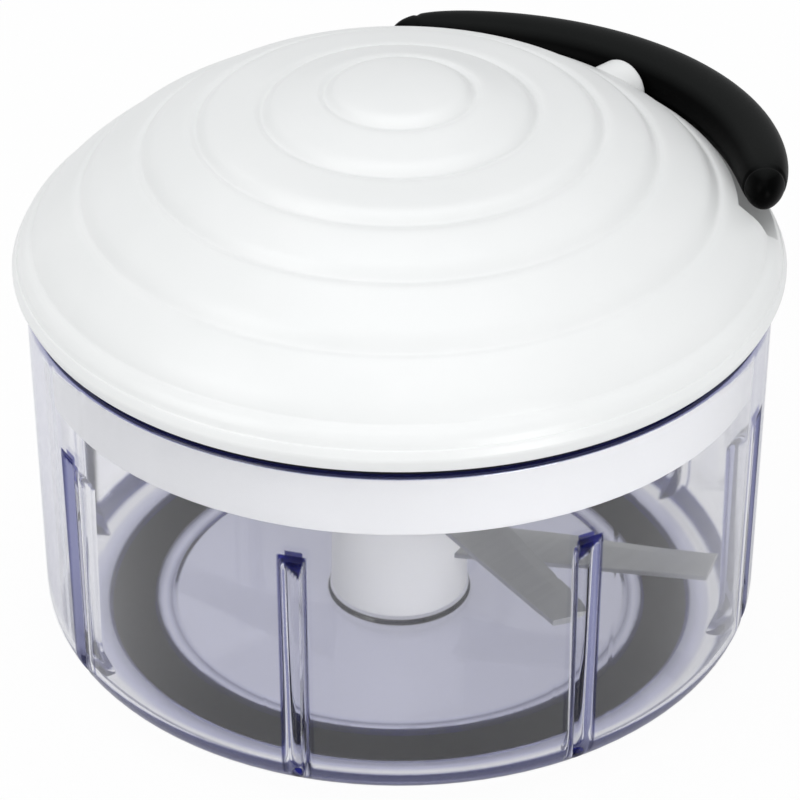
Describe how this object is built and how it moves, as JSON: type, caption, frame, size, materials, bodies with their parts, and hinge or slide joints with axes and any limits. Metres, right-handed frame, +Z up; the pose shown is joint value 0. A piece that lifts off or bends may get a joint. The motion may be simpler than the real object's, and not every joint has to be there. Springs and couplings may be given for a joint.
{
  "type": "food chopper",
  "caption": "Round hand food chopper: clear fluted bowl with a blade rotor on a pin, and a rippled white lid whose black grip pulls a cord that spins the blades.",
  "frame": {"origin": "on the bowl's axis, at the level of the surface that the non-slip ring stands on", "axes": "+Z up along the bowl's axis, +X the way the handle is pulled out of the lid"},
  "size_m": [0.1346, 0.13, 0.102],
  "materials": {
    "bowl_clear": "clear, faint violet tint, polished",
    "rubber": "dark, matte",
    "steel": "bright steel",
    "blade_steel": "satin, brushed along the blade",
    "hub_white": "white, satin",
    "lid_white": "white, semi-gloss",
    "acetal": "natural, satin",
    "cord": "braided cord",
    "handle_black": "black, satin"
  },
  "bodies": {
    "bowl": {"bowl": "bowl_clear", "non_slip_ring": "rubber", "spindle_pin": "steel"},
    "rotor": {"blade_hub": "hub_white", "hub_bush_lower": "acetal", "hub_bush_upper": "acetal", "blade_lower": "blade_steel", "blade_middle": "blade_steel", "blade_upper": "blade_steel"},
    "lid": {"lid_base": "lid_white", "lid_cover": "lid_white", "rim_seal": "rubber", "coupler_bush": "acetal", "thrust_washer": "steel", "drum_axle": "steel", "spring_housing": "acetal", "spring_plate": "acetal", "recoil_spring": "steel", "cord_eyelet": "acetal", "lid_screw_1": "steel", "lid_screw_2": "steel", "lid_screw_3": "steel", "lid_screw_4": "steel", "spring_screw_1": "steel", "spring_screw_2": "steel", "spring_screw_3": "steel"},
    "coupler": {"drive_coupler": "acetal", "ratchet_wheel": "steel"},
    "drum": {"cord_drum": "acetal", "cord_winding": "cord"},
    "pawl_a": {"pawl_a": "steel"},
    "pawl_b": {"pawl_b": "steel"},
    "handle": {"handle_grip": "handle_black", "handle_plug": "handle_black", "cord_knot": "cord", "cord_lead": "cord"}
  },
  "joints": [
    {"name": "lid_lift", "type": "slide", "parent": "bowl", "child": "lid", "axis": [0, 0, 1], "range_m": [0, 0.11]},
    {"name": "handle_pull", "type": "slide", "parent": "lid", "child": "handle", "axis": [1, 0, 0], "range_m": [0, 0.25], "stiffness_N_per_m": 20, "springref_m": -0.15, "deforming": ["cord_lead"]},
    {"name": "drum_spin", "type": "hinge", "parent": "lid", "child": "drum", "pos_m": [0, 0, 0.08], "axis": [0, 0, 1], "range_deg": [0, 1303], "deforming": ["recoil_spring"]},
    {"name": "coupler_spin", "type": "hinge", "parent": "lid", "child": "coupler", "pos_m": [0, 0, 0.06], "axis": [0, 0, 1], "range_deg": [0, 1303]},
    {"name": "rotor_spin", "type": "hinge", "parent": "bowl", "child": "rotor", "pos_m": [0, 0, 0.02], "axis": [0, 0, 1], "range_deg": [0, 1303]},
    {"name": "pawl_a_swing", "type": "hinge", "parent": "drum", "child": "pawl_a", "pos_m": [0.00893, -0.01143, 0.0715], "axis": [0, 0, -1], "range_deg": [0, 14]},
    {"name": "pawl_b_swing", "type": "hinge", "parent": "drum", "child": "pawl_b", "pos_m": [-0.00893, 0.01143, 0.0715], "axis": [0, 0, -1], "range_deg": [0, 14]}
  ],
  "couplings": [
    {"joint": "drum_spin", "follows": "handle_pull", "rad_per_m": 90.909},
    {"joint": "coupler_spin", "follows": "handle_pull", "rad_per_m": 90.909},
    {"joint": "rotor_spin", "follows": "handle_pull", "rad_per_m": 90.909}
  ]
}
